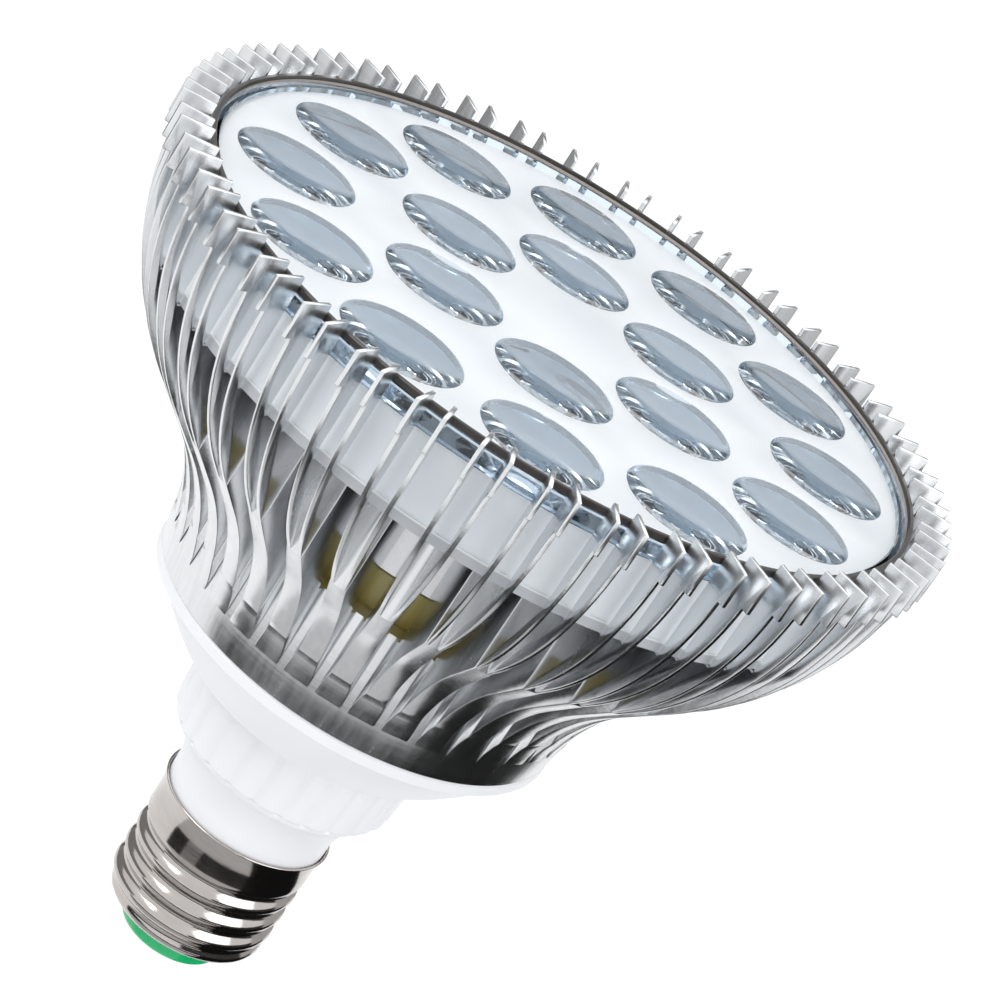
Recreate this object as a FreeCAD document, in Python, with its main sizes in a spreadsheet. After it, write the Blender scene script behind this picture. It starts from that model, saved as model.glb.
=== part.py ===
import FreeCAD, Part
import math
import os
import re
import Sketcher

# A finned spotlight bulb with a screw base, standing on its centre contact.
# +Z points from the contact to the light face, and the origin is the tip of the contact.
# Millimetres and degrees. Lens centres start on +X.

SIZES = {
    # Overall form
    "overall_height": 119.40502,
    "foot_height": 60.0,
    "rim_radius": 61.0,
    "rim_band": 5.4,
    "rim_step": 1.3,
    # Turned outline of the heat sink, from the rim down
    "crown_radius": 40.05,
    "crown_lean": 2.6,
    "slope_run": 6.6,
    "cove_radius": 30.7,
    "cove_lean": 13.0,
    "foot_taper": 0.91,
    # Forked fins
    "trunk_count": 40,
    "trunk_phase": 5.6,
    "trunk_root_width": 3.15,
    "trunk_width": 2.6,
    "arm_thickness": 0.78,
    "valley_floor_depth": 0.2,
    "valley_floor_flat": 1.0,
    "valley_floor_round": 1.1,
    "fork_depth": 14.5,
    "crotch_width": 1.0,
    # Hollows turned into the heat sink
    "fin_top_width": 5.1,
    "seat_depth": 17.4,
    "bore_step": 1.2,
    "bore_rise": 12.0,
    "chamber_wall": 2.3,
    # Light engine
    "slug_height": 16.20502,
    "pad_thickness": 0.3,
    "pad_margin": 1.7,
    "board_gap": 0.7,
    "board_thickness": 1.6,
    "lens_margin": 1.95,
    "inner_ring_share": 0.489,
    "inner_lens_count": 6,
    "outer_lens_count": 12,
    "led_width": 3.5,
    "led_base": 0.8,
    "led_dome_radius": 1.5,
    "led_dome_height": 1.1,
    "screw_circle": 9.0,
    "screw_count": 3,
    "screw_radius": 1.5,
    "screw_length": 8.0,
    "screw_head_radius": 2.75,
    "screw_head_height": 1.9,
    "screw_hole_gap": 0.2,
    # Lens plate and its ring
    "lens_radius": 9.1,
    "lens_dish": 0.4,
    "plate_drop": 3.35,
    "plate_thickness": 2.0,
    "flange_gap": 0.4,
    "flange_width": 1.6,
    "flange_lip": 1.0,
    "skirt_step": 0.6,
    "skirt_wall": 1.5,
    "cup_foot_radius": 3.6,
    "cup_foot_gap": 1.0,
    "pocket_radius": 2.7,
    "pocket_depth": 4.0,
    "ring_gap": 0.2,
    "ring_width": 0.8,
    "ring_height": 0.95,
    # Base housing
    "housing_wall": 1.8,
    "flange_height": 2.0,
    "spigot_height": 3.0,
    "spigot_gap": 0.2,
    "spigot_wall": 1.6,
    "funnel_foot_radius": 22.0,
    "funnel_drop": 12.0,
    "neck_top_radius": 18.7,
    "neck_foot_radius": 17.9,
    "neck_foot_rise": 10.7,
    "neck_undercut": 0.4,
    "rib_count": 26,
    "rib_groove_width": 1.0,
    "rib_groove_depth": 0.6,
    "nose_groove": 0.7,
    "nose_radius": 16.9,
    "nose_rise": 9.2,
    "nose_belly": 9.0,
    "collar_rise": 2.4,
    "collar_gap": 0.05,
    "collar_dip": 1.2,
    "boss_gap": 0.3,
    "boss_wall": 1.4,
    "boss_foot": 9.6,
    # Screw shell and contact
    "shell_height": 26.2,
    "shell_foot": 3.4,
    "shell_foot_radius": 8.4,
    "shell_shoulder": 12.5,
    "shell_shoulder_height": 6.5,
    "shell_heel": 10.8,
    "shell_heel_height": 4.5,
    "shell_wall": 0.35,
    "shell_flare": 0.55,
    "thread_crest_radius": 13.05,
    "thread_root_radius": 12.15,
    "thread_pitch": 3.63,
    "thread_turns": 4,
    "thread_top": 20.6,
    "crest_flat": 0.7,
    "insulator_plug": 1.8,
    "insulator_foot_radius": 5.4,
    "contact_radius": 4.75,
    "contact_thickness": 0.8,
    "solder_radius": 2.0,
    "solder_height": 0.7,
    # Driver
    "cup_gap": 0.3,
    "cup_wall": 0.4,
    "cup_headroom": 0.4,
    "driver_board_gap": 0.2,
    "driver_board_thickness": 1.6,
    "core_length": 20.0,
    "core_width": 9.0,
    "core_height": 17.0,
    "core_leg": 4.0,
    "core_x": -13.5,
    "core_y": -6.0,
    "winding_gap": 0.3,
    "input_can_radius": 6.3,
    "input_can_height": 18.0,
    "input_can_x": 9.5,
    "input_can_y": -17.0,
    "output_can_radius": 5.0,
    "output_can_height": 16.0,
    "output_can_x": 19.0,
    "output_can_y": -2.0,
    "film_length": 13.0,
    "film_width": 6.0,
    "film_height": 11.0,
    "film_x": -10.0,
    "film_y": 14.0,
    "bridge_length": 8.0,
    "bridge_width": 6.5,
    "bridge_height": 2.5,
    "bridge_x": -3.0,
    "bridge_y": 23.0,
    "chip_length": 5.0,
    "chip_width": 4.0,
    "chip_height": 1.6,
    "chip_x": 9.0,
    "chip_y": 2.5,
    "fuse_radius": 1.8,
    "fuse_length": 9.0,
    "fuse_x": 7.5,
    "fuse_y": 21.0,
    "drum_radius": 4.5,
    "drum_waist": 2.8,
    "drum_height": 9.0,
    "drum_flange": 1.4,
    "drum_x": 8.0,
    "drum_y": 12.0,
    "lead_radius": 0.7,
    "lead_hole_gap": 0.5,
    "led_lead_offset": 3.5,
    "lead_end": 0.5,
    "lead_bend": 5.0,
    "line_offset": 6.0,
    "line_bend_height": 44.0,
    "neutral_offset": 9.0,
    "neutral_bend": 1.8,
    "neutral_height": 8.1,
    "neutral_gap": 0.5,
    # How far a cutting outline reaches past the metal
    "cut_margin": 3.0,
}

# Levels and radii that follow from the sizes, so that pieces which meet move together
DERIVED = {
    "crown_top": "overall_height - rim_band",
    "crown_level": "crown_top + crown_radius * sin(crown_lean)",
    "slope_foot_height": "crown_level - crown_radius * sin(45) - slope_run",
    "waist_height": "slope_foot_height - cove_radius * (sin(45) - sin(cove_lean))",
    "crown_axis": "rim_radius - rim_step - crown_radius * cos(crown_lean)",
    "slope_foot_radius": "crown_axis + crown_radius * cos(45) - slope_run",
    "waist_radius": "slope_foot_radius - cove_radius * (cos(cove_lean) - cos(45))",
    "foot_radius": "waist_radius - foot_taper",
    "valley_floor_radius": "waist_radius - valley_floor_depth",
    "fork_radius": "rim_radius - fork_depth",
    "seat_radius": "rim_radius - fin_top_width",
    "seat_height": "overall_height - seat_depth",
    "bore_radius": "valley_floor_radius + bore_step",
    "bore_floor": "waist_height + bore_rise",
    "chamber_radius": "foot_radius - chamber_wall",
    "board_top": "seat_height + board_thickness",
    "slug_top": "seat_height - pad_thickness",
    "slug_foot": "slug_top - slug_height",
    "pad_radius": "bore_radius - pad_margin",
    "board_radius": "seat_radius - board_gap",
    "plate_height": "overall_height - plate_drop",
    "plate_under": "plate_height - plate_thickness",
    "flange_top": "plate_height + flange_lip",
    "flange_radius": "seat_radius - flange_gap",
    "skirt_radius": "flange_radius - skirt_step",
    "ring_radius": "seat_radius - ring_gap",
    "outer_lens_circle": "skirt_radius - skirt_wall - lens_radius - lens_margin",
    "inner_lens_circle": "outer_lens_circle * inner_ring_share",
    "spigot_top": "foot_height + spigot_height",
    "driver_top": "spigot_top + driver_board_thickness",
    "cup_top": "slug_foot - cup_headroom",
    "funnel_foot_height": "foot_height - funnel_drop",
    "neck_foot_height": "shell_height + neck_foot_rise",
    "nose_height": "shell_height + nose_rise",
    "collar_height": "shell_height + collar_rise",
    "contact_top": "solder_height + contact_thickness",
    "collar_radius": "thread_crest_radius - collar_gap",
    "boss_radius": "thread_root_radius - shell_wall - boss_gap",
    "hole_radius": "lead_radius + lead_hole_gap",
}

doc = FreeCAD.newDocument("par_bulb")
sheet = doc.addObject("Spreadsheet::Sheet", "Sizes")
for row, (size_name, size_value) in enumerate(SIZES.items(), start=1):
    sheet.set(f"A{row}", size_name)
    sheet.set(f"B{row}", str(size_value))
    sheet.setAlias(f"B{row}", size_name)
doc.recompute()

pieces = []


def spelled(text):
    """The expression with every derived name replaced by what it follows from."""
    text = str(text)
    while True:
        longer = re.sub(r"[a-z_]{3,}\w*", lambda m: f"({DERIVED[m[0]]})" if m[0] in DERIVED else m[0], text)
        if longer == text:
            return text
        text = longer


def number(text):
    """Value of an expression written with the names of the sizes."""
    return float(sheet.evalExpression(spelled(text)))


def bound(text):
    """The same expression as other objects read it, with each size taken from the sheet."""
    return re.sub(r"[a-z_]{3,}\w*", lambda m: f"Sizes.{m[0]}" if m[0] in SIZES else m[0], spelled(text))


def new_body(label):
    body = doc.addObject("PartDesign::Body", label)
    body.Label = label
    pieces.append(body)
    return body


def new_sketch(body, name, role="XZ_Plane", shift_x="0", shift_z="0", turn="0"):
    """Empty sketch on a plane of the body's own origin, slid along X or up Z, or turned about Z."""
    sketch = body.newObject("Sketcher::SketchObject", name)
    plane = [item for item in body.Origin.OriginFeatures if item.Role == role][0]
    sketch.AttachmentSupport = [(plane, "")]
    sketch.MapMode = "FlatFace"
    turned = FreeCAD.Rotation(FreeCAD.Vector(0, 0, 1), number(turn))
    sketch.AttachmentOffset = FreeCAD.Placement(FreeCAD.Vector(number(shift_x), 0, number(shift_z)), turned)
    for path, text in (("Base.x", shift_x), ("Base.z", shift_z), ("Rotation.Angle", turn)):
        if text != "0":
            sketch.setExpression(f"AttachmentOffset.{path}", bound(text))
    return sketch


def pin_point(sketch, item, end, x, y):
    """Hold one end of a sketch element at x, y from the sketch's origin."""
    for kind, text in (("DistanceX", x), ("DistanceY", y)):
        index = sketch.addConstraint(Sketcher.Constraint(kind, -1, 1, item, end, number(text)))
        sketch.setExpression(f"Constraints[{index}]", bound(text))


def arc_through(start, end, radius):
    """Arc between two points; a positive radius bulges to the right of the way from start to end."""
    chord = end - start
    middle = (start + end) * 0.5
    right = FreeCAD.Vector(chord.y, -chord.x, 0)
    right.normalize()
    side = math.copysign(1, radius)
    rise = math.sqrt(radius * radius - chord.Length ** 2 / 4)
    centre = middle - right * side * rise
    top = centre + right * side * abs(radius)
    return Part.Arc(start, top, end)


def draw_outline(sketch, corners, closed=True):
    """Outline through the corners; a corner's third value is the radius of the arc that leaves it."""
    spots = [FreeCAD.Vector(number(corner[0]), number(corner[1]), 0) for corner in corners]
    first = sketch.GeometryCount
    count = len(corners)
    runs = count if closed else count - 1
    ends = []
    for index in range(runs):
        start = spots[index]
        end = spots[(index + 1) % count]
        if len(corners[index]) == 3:
            radius = number(corners[index][2])
            item = sketch.addGeometry(arc_through(start, end, radius), False)
            starts_here = sketch.getPoint(item, 1).isEqual(start, 1e-6)
            ends.append((1, 2) if starts_here else (2, 1))
            limit = sketch.addConstraint(Sketcher.Constraint("Radius", item, abs(radius)))
            sketch.setExpression(f"Constraints[{limit}]", f"abs({bound(corners[index][2])})")
        else:
            sketch.addGeometry(Part.LineSegment(start, end), False)
            ends.append((1, 2))
    for index in range(runs if closed else runs - 1):
        following = (index + 1) % runs
        joint = Sketcher.Constraint("Coincident", first + index, ends[index][1], first + following, ends[following][0])
        sketch.addConstraint(joint)
    for index in range(runs):
        pin_point(sketch, first + index, ends[index][0], corners[index][0], corners[index][1])
    if not closed:
        pin_point(sketch, first + runs - 1, ends[-1][1], corners[-1][0], corners[-1][1])


def draw_circle(sketch, x, y, radius):
    centre = FreeCAD.Vector(number(x), number(y), 0)
    item = sketch.addGeometry(Part.Circle(centre, FreeCAD.Vector(0, 0, 1), number(radius)), False)
    pin_point(sketch, item, 3, x, y)
    limit = sketch.addConstraint(Sketcher.Constraint("Radius", item, number(radius)))
    sketch.setExpression(f"Constraints[{limit}]", bound(radius))


def turn_outline(body, name, corners, cut=False, shift_x="0"):
    """Revolve an outline of (radius, height) corners about the body's axis, or about one shifted along X."""
    sketch = new_sketch(body, f"{name}_outline", shift_x=shift_x)
    draw_outline(sketch, corners)
    feature = body.newObject("PartDesign::Groove" if cut else "PartDesign::Revolution", name)
    feature.Profile = sketch
    feature.ReferenceAxis = (sketch, ["V_Axis"])
    feature.Angle = 360
    return feature


def extrude(body, name, sketch, length, cut=False, down=False):
    """Pad or pocket a sketch drawn on a level plane, upwards unless down is set."""
    feature = body.newObject("PartDesign::Pocket" if cut else "PartDesign::Pad", name)
    feature.Profile = sketch
    feature.Length = number(length)
    feature.setExpression("Length", bound(length))
    feature.Reversed = cut != down
    return feature


def repeat(body, name, features, count):
    """Repeat features evenly round the body's vertical axis."""
    pattern = body.newObject("PartDesign::PolarPattern", name)
    pattern.Originals = features
    pattern.Axis = ([item for item in body.Origin.OriginFeatures if item.Role == "Z_Axis"][0], [""])
    pattern.Angle = 360
    pattern.Occurrences = int(number(count))
    pattern.setExpression("Occurrences", bound(count))
    body.Tip = pattern
    return pattern


def drill(body, name, spots, radius, foot, depth):
    """Round holes of one size at (x, y) spots, from the height foot upwards."""
    sketch = new_sketch(body, f"{name}_outline", "XY_Plane", shift_z=foot)
    for x, y in spots:
        draw_circle(sketch, x, y, radius)
    return extrude(body, name, sketch, depth, cut=True)


def place(piece, x, y, z):
    for axis, text in (("x", x), ("y", y), ("z", z)):
        piece.setExpression(f"Placement.Base.{axis}", bound(text))


def new_cylinder(label, radius, height, x, y, z):
    piece = doc.addObject("Part::Cylinder", label)
    piece.Label = label
    piece.setExpression("Radius", bound(radius))
    piece.setExpression("Height", bound(height))
    place(piece, x, y, z)
    return piece


def new_box(label, length, width, height, x, y, z):
    """Box whose foot is centred on x, y at the height z."""
    piece = doc.addObject("Part::Box", label)
    piece.Label = label
    for side, text in (("Length", length), ("Width", width), ("Height", height)):
        piece.setExpression(side, bound(text))
    place(piece, f"{x} - {length} / 2", f"{y} - {width} / 2", z)
    return piece


def screw_spots():
    """Where the board screws stand: evenly round their circle, the first on +Y."""
    count = int(number("screw_count"))
    angles = [f"(90 + 360 / screw_count * {index})" for index in range(count)]
    return [(f"screw_circle * cos({angle})", f"screw_circle * sin({angle})") for angle in angles]


def lead_spots():
    return [("0", "led_lead_offset"), ("0", "-led_lead_offset")]


# Heat sink: a bell turned from an extrusion whose radial fins fork in two
def make_heat_sink():
    body = new_body("heat_sink")
    crown_steps = 4
    crown = []
    for step in range(crown_steps, -1, -1):
        angle = f"(crown_lean + (45 - crown_lean) * {step} / {crown_steps})"
        crown.append((f"crown_axis + crown_radius * cos{angle}", f"crown_level - crown_radius * sin{angle}"))
    cove = []
    cove_steps = 2
    for step in range(cove_steps, -1, -1):
        angle = f"(45 - (45 - cove_lean) * {step} / {cove_steps})"
        cove.append((f"slope_foot_radius - cove_radius * (cos{angle} - cos(45))",
                     f"slope_foot_height - cove_radius * (sin(45) - sin{angle})"))
    rim = [("rim_radius", "crown_top"), ("rim_radius", "overall_height"), ("seat_radius", "overall_height")]
    hollow = [("seat_radius", "seat_height"), ("bore_radius", "seat_height"), ("bore_radius", "bore_floor"),
              ("chamber_radius", "bore_floor"), ("chamber_radius", "foot_height")]
    turn_outline(body, "bell", [("foot_radius", "foot_height")] + cove + crown + rim + hollow)

    valley_width = "(2 * pi * fork_radius / trunk_count - trunk_width)"
    floor_rim = "(valley_floor_radius + valley_floor_round)"
    floor_width = f"(2 * pi * {floor_rim} / trunk_count - trunk_root_width)"
    rim_crotch = f"(2 * pi * rim_radius / trunk_count - {valley_width} - 2 * arm_thickness)"
    reach = "(rim_radius + cut_margin)"
    valley = new_sketch(body, "valley_outline", "XY_Plane", "0", "foot_height", "trunk_phase + 180 / trunk_count")
    wall = [("valley_floor_radius", "valley_floor_flat"), (floor_rim, floor_width),
            ("fork_radius", valley_width), (reach, valley_width)]
    draw_outline(valley, [(radius, f"-{width} / 2") for radius, width in wall]
                 + [(radius, f"{width} / 2") for radius, width in reversed(wall)])
    valley_cut = extrude(body, "valley", valley, "overall_height - foot_height + cut_margin", cut=True)
    crotch = new_sketch(body, "crotch_outline", "XY_Plane", "0", "foot_height", "trunk_phase")
    draw_outline(crotch, [("fork_radius", "-crotch_width / 2"), ("rim_radius", f"-{rim_crotch} / 2"),
                          (reach, f"-{rim_crotch} / 2"), (reach, f"{rim_crotch} / 2"),
                          ("rim_radius", f"{rim_crotch} / 2"), ("fork_radius", "crotch_width / 2")])
    crotch_cut = extrude(body, "crotch", crotch, "overall_height - foot_height + cut_margin", cut=True)
    repeat(body, "forked_fins", [valley_cut, crotch_cut], "trunk_count")


# Light engine: slug pressed into the fins' bore, thermal pad, LED board with its LEDs and screws
def make_light_engine():
    slug = new_body("thermal_slug")
    turn_outline(slug, "disc", [("0", "slug_foot"), ("bore_radius", "slug_foot"), ("bore_radius", "slug_top"),
                                ("0", "slug_top")])
    drill(slug, "lead_holes", lead_spots(), "hole_radius", "slug_foot", "slug_height")
    tapped = "(screw_length - board_thickness - pad_thickness + cut_margin)"
    drill(slug, "tapped_holes", screw_spots(), "screw_radius", f"slug_top - {tapped}", tapped)

    pad = new_body("thermal_pad")
    turn_outline(pad, "sheet", [("0", "slug_top"), ("pad_radius", "slug_top"), ("pad_radius", "seat_height"),
                                ("0", "seat_height")])
    drill(pad, "lead_holes_in_pad", lead_spots(), "hole_radius", "slug_top", "pad_thickness")
    drill(pad, "screw_holes_in_pad", screw_spots(), "screw_radius + screw_hole_gap", "slug_top", "pad_thickness")

    board = new_body("led_board")
    turn_outline(board, "laminate", [("0", "seat_height"), ("board_radius", "seat_height"),
                                     ("board_radius", "board_top"), ("0", "board_top")])
    drill(board, "lead_holes_in_board", lead_spots(), "hole_radius", "seat_height", "board_thickness")
    drill(board, "screw_holes", screw_spots(), "screw_radius + screw_hole_gap", "seat_height", "board_thickness")

    leds = new_body("leds")
    for ring in ("inner", "outer"):
        centre = f"{ring}_lens_circle"
        base_sketch = new_sketch(leds, f"{ring}_base_outline", "XY_Plane", shift_z="board_top")
        near = f"{centre} - led_width / 2"
        far = f"{centre} + led_width / 2"
        draw_outline(base_sketch, [(near, "-led_width / 2"), (far, "-led_width / 2"),
                                   (far, "led_width / 2"), (near, "led_width / 2")])
        base = extrude(leds, f"{ring}_base", base_sketch, "led_base")
        dome_sketch = new_sketch(leds, f"{ring}_dome_outline", "XY_Plane", shift_z="board_top + led_base")
        draw_circle(dome_sketch, centre, "0", "led_dome_radius")
        dome = extrude(leds, f"{ring}_dome", dome_sketch, "led_dome_height")
        repeat(leds, f"{ring}_leds", [base, dome], f"{ring}_lens_count")

    screws = new_body("board_screws")
    tip = "(board_top - screw_length)"
    screw = [("0", tip), ("screw_radius", tip), ("screw_radius", "board_top"), ("screw_head_radius", "board_top"),
             ("screw_head_radius", "board_top + screw_head_height / 2"),
             ("screw_head_radius * 0.6", "board_top + screw_head_height"), ("0", "board_top + screw_head_height")]
    first = turn_outline(screws, "pan_screw", screw, shift_x="screw_circle")
    repeat(screws, "screw_ring", [first], "screw_count")
    screws.setExpression("Placement.Rotation.Angle", "90")


# Lens plate: one clear moulding of a plate, a skirt that stands on the board and a cup over each LED
def make_lens_plate():
    body = new_body("lens_plate")
    turn_outline(body, "plate", [("0", "plate_under"), ("skirt_radius - skirt_wall", "plate_under"),
                                 ("skirt_radius - skirt_wall", "board_top"), ("skirt_radius", "board_top"),
                                 ("skirt_radius", "plate_under"), ("flange_radius", "plate_under"),
                                 ("flange_radius", "flange_top"), ("flange_radius - flange_width", "flange_top"),
                                 ("flange_radius - flange_width", "plate_height"), ("0", "plate_height")])
    cup_foot = "(board_top + cup_foot_gap)"
    for ring in ("inner", "outer"):
        centre = f"{ring}_lens_circle"
        count = f"{ring}_lens_count"
        cup = turn_outline(body, f"{ring}_cup", [("0", cup_foot), ("cup_foot_radius", cup_foot),
                                                 ("lens_radius", "plate_under"), ("0", "plate_under")], shift_x=centre)
        repeat(body, f"{ring}_cups", [cup], count)
        dish = turn_outline(body, f"{ring}_dish", [("0", "plate_height - lens_dish"),
                                                   ("lens_radius - lens_dish", "plate_height - lens_dish"),
                                                   ("lens_radius", "plate_height"), ("0", "plate_height")],
                            cut=True, shift_x=centre)
        pocket = turn_outline(body, f"{ring}_pocket", [("0", cup_foot), ("pocket_radius", cup_foot),
                                                       ("pocket_radius", f"{cup_foot} + pocket_depth"),
                                                       ("0", f"{cup_foot} + pocket_depth")],
                              cut=True, shift_x=centre)
        repeat(body, f"{ring}_hollows", [dish, pocket], count)


# Ring that lies on the lens flange, between the fins' inner edges
def make_retaining_ring():
    body = new_body("retaining_ring")
    top = "(flange_top + ring_height)"
    bore = "(ring_radius - ring_width)"
    turn_outline(body, "hoop", [(bore, "flange_top"), ("ring_radius", "flange_top"), ("ring_radius", top), (bore, top)])


# Base housing: flange and funnel, ribbed neck, rounded nose, and the hollow boss inside the screw shell
def make_base_housing():
    body = new_body("base_housing")
    spigot_radius = "(chamber_radius - spigot_gap)"
    rim_foot = "(foot_height - flange_height)"
    outside = [(spigot_radius, "spigot_top"), (spigot_radius, "foot_height"), ("foot_radius", "foot_height"),
               ("foot_radius", rim_foot), ("foot_radius - flange_height", f"{rim_foot} - flange_height / 2"),
               ("funnel_foot_radius", "funnel_foot_height"),
               ("neck_top_radius", "funnel_foot_height + neck_undercut"),
               ("neck_foot_radius", "neck_foot_height"),
               ("nose_radius", "neck_foot_height - neck_undercut"),
               ("nose_radius", "neck_foot_height - neck_undercut - nose_groove"),
               ("nose_radius", "nose_height", "nose_belly"),
               ("collar_radius", "collar_height"), ("collar_radius", "shell_height - collar_dip"),
               ("boss_radius", "shell_height - collar_dip"), ("boss_radius", "boss_foot")]
    inside = [("boss_radius - boss_wall", "boss_foot"),
              ("boss_radius - boss_wall", "collar_height"),
              ("neck_foot_radius - rib_groove_depth - housing_wall", "nose_height + housing_wall"),
              ("neck_foot_radius - rib_groove_depth - housing_wall", "funnel_foot_height"),
              (f"{spigot_radius} - spigot_wall", f"{rim_foot} - flange_height / 2"),
              (f"{spigot_radius} - spigot_wall", "spigot_top")]
    turn_outline(body, "shell", outside + inside)
    groove = new_sketch(body, "rib_groove_outline", "XY_Plane", shift_z="neck_foot_height")
    groove_floor = "(neck_foot_radius - rib_groove_depth)"
    draw_outline(groove, [(groove_floor, "-rib_groove_width / 2"),
                          ("neck_top_radius + cut_margin", "-rib_groove_width / 2"),
                          ("neck_top_radius + cut_margin", "rib_groove_width / 2"),
                          (groove_floor, "rib_groove_width / 2")])
    groove_cut = extrude(body, "rib_groove", groove, "funnel_foot_height - neck_foot_height", cut=True)
    repeat(body, "ribs", [groove_cut], "rib_count")


# Screw shell: thin rolled sheet with rounded thread waves, flared where it meets the housing
def make_screw_shell():
    body = new_body("screw_shell")
    outer = []
    inner = []
    turns = int(number("thread_turns"))
    for turn in range(turns):
        level = f"(thread_top - thread_pitch * {turn})"
        outer.append(("thread_root_radius", level))
        outer.append(("thread_crest_radius", f"{level} - thread_pitch / 2 + crest_flat / 2"))
        outer.append(("thread_crest_radius", f"{level} - thread_pitch / 2 - crest_flat / 2"))
    for radius, level in outer:
        inner.append((f"{radius} - shell_wall", level))
    top = [("thread_crest_radius + shell_flare", "shell_height"),
           ("thread_crest_radius", "shell_height - thread_pitch"),
           ("thread_crest_radius", "thread_top + shell_flare")]
    foot = [("shell_shoulder", "shell_shoulder_height"), ("shell_heel", "shell_heel_height"),
            ("shell_foot_radius", "shell_foot"), ("shell_foot_radius", "shell_foot + shell_wall"),
            ("shell_heel - shell_wall / 2", "shell_heel_height + shell_wall"),
            ("shell_shoulder - shell_wall", "shell_shoulder_height")]
    lining = [(f"{radius} - shell_wall", level) for radius, level in reversed(top)]
    turn_outline(body, "sheet_metal", top + outer + foot + list(reversed(inner)) + lining)


# Insulator that closes the shell, and the centre contact with its solder
def make_contact_end():
    insulator = new_body("shell_insulator")
    turn_outline(insulator, "glass", [("hole_radius", "contact_top"), ("insulator_foot_radius", "contact_top"),
                                      ("shell_foot_radius", "shell_foot"),
                                      ("shell_foot_radius", "shell_foot + insulator_plug"),
                                      ("hole_radius", "shell_foot + insulator_plug")])
    contact = new_body("centre_contact")
    turn_outline(contact, "disc_contact", [("lead_radius", "solder_height"), ("contact_radius", "solder_height"),
                                           ("contact_radius", "contact_top"), ("lead_radius", "contact_top")])
    solder = new_body("contact_solder")
    turn_outline(solder, "blob", [("0", "0"), ("solder_radius * 0.6", "0"), ("solder_radius", "solder_height"),
                                  ("0", "solder_height")])


# Insulating cup that lines the chamber, over the driver board that stands on the spigot
def make_driver_shelter():
    cup = new_body("insulating_cup")
    outer = "(chamber_radius - cup_gap)"
    turn_outline(cup, "lining", [(f"{outer} - cup_wall", "spigot_top"), (outer, "spigot_top"), (outer, "cup_top"),
                                 ("0", "cup_top"), ("0", "cup_top - cup_wall"),
                                 (f"{outer} - cup_wall", "cup_top - cup_wall")])
    drill(cup, "lead_holes_in_cup", lead_spots(), "hole_radius", "cup_top - cup_wall", "cup_wall")
    board = new_cylinder("driver_board", f"{outer} - cup_wall - driver_board_gap", "driver_board_thickness",
                         "0", "0", "spigot_top")
    pieces.append(board)


# Transformer: a closed core with a centre leg, and the winding round that leg
def make_transformer():
    spot = ("core_x", "core_y")
    window_length = "(core_length - 2 * core_leg)"
    window_height = "(core_height - 2 * core_leg)"
    block = new_box("core_block", "core_width", "core_length", "core_height", *spot, "driver_top")
    window = new_box("core_window", "core_width", window_length, window_height, *spot, "driver_top + core_leg")
    leg = new_box("core_centre_leg", "core_width", "core_leg", window_height, *spot, "driver_top + core_leg")
    open_core = doc.addObject("Part::Cut", "open_core")
    open_core.Base = block
    open_core.Tool = window
    core = doc.addObject("Part::Fuse", "transformer_core")
    core.Base = open_core
    core.Tool = leg
    core.Label = "transformer_core"
    wound = new_box("winding_block", "core_width + 2 * core_leg", f"({window_length} - 2 * winding_gap)",
                    f"({window_height} - 2 * winding_gap)", *spot, "driver_top + core_leg + winding_gap")
    bore = new_box("winding_bore", "(core_width + 2 * winding_gap)", "(core_leg + 2 * winding_gap)", "core_height",
                   *spot, "driver_top")
    winding = doc.addObject("Part::Cut", "transformer_winding")
    winding.Base = wound
    winding.Tool = bore
    winding.Label = "transformer_winding"
    pieces.extend([core, winding])


# Other parts that stand on the driver board
def make_driver_parts():
    pieces.append(new_cylinder("input_capacitor", "input_can_radius", "input_can_height", "input_can_x", "input_can_y", "driver_top"))
    pieces.append(new_cylinder("output_capacitor", "output_can_radius", "output_can_height", "output_can_x", "output_can_y", "driver_top"))
    pieces.append(new_box("film_capacitor", "film_length", "film_width", "film_height", "film_x", "film_y", "driver_top"))
    pieces.append(new_box("bridge_rectifier", "bridge_length", "bridge_width", "bridge_height", "bridge_x", "bridge_y",
                          "driver_top"))
    pieces.append(new_box("controller_chip", "chip_length", "chip_width", "chip_height", "chip_x", "chip_y", "driver_top"))
    fuse = new_cylinder("fuse_resistor", "fuse_radius", "fuse_length", "fuse_x", "fuse_y", "driver_top + fuse_radius")
    fuse.Placement.Rotation = FreeCAD.Rotation(FreeCAD.Vector(0, 1, 0), 90)
    pieces.append(fuse)
    drum = new_body("drum_inductor")
    turn_outline(drum, "ferrite", [("0", "0"), ("drum_radius", "0"), ("drum_radius", "drum_flange"),
                                   ("drum_waist", "drum_flange"), ("drum_waist", "drum_height - drum_flange"),
                                   ("drum_radius", "drum_height - drum_flange"), ("drum_radius", "drum_height"),
                                   ("0", "drum_height")])
    place(drum, "drum_x", "drum_y", "driver_top")


def run_lead(label, corners):
    """Round wire along an open path of (x, z) corners that starts upright."""
    body = new_body(label)
    path = new_sketch(body, f"{label}_path")
    draw_outline(path, corners, closed=False)
    section = new_sketch(body, f"{label}_section", "XY_Plane", corners[0][0], corners[0][1])
    draw_circle(section, "0", "0", "lead_radius")
    doc.recompute()
    wire = body.newObject("PartDesign::AdditivePipe", f"{label}_wire")
    wire.Profile = section
    wire.Spine = (path, [f"Edge{index}" for index in range(1, len(corners))])


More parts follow.
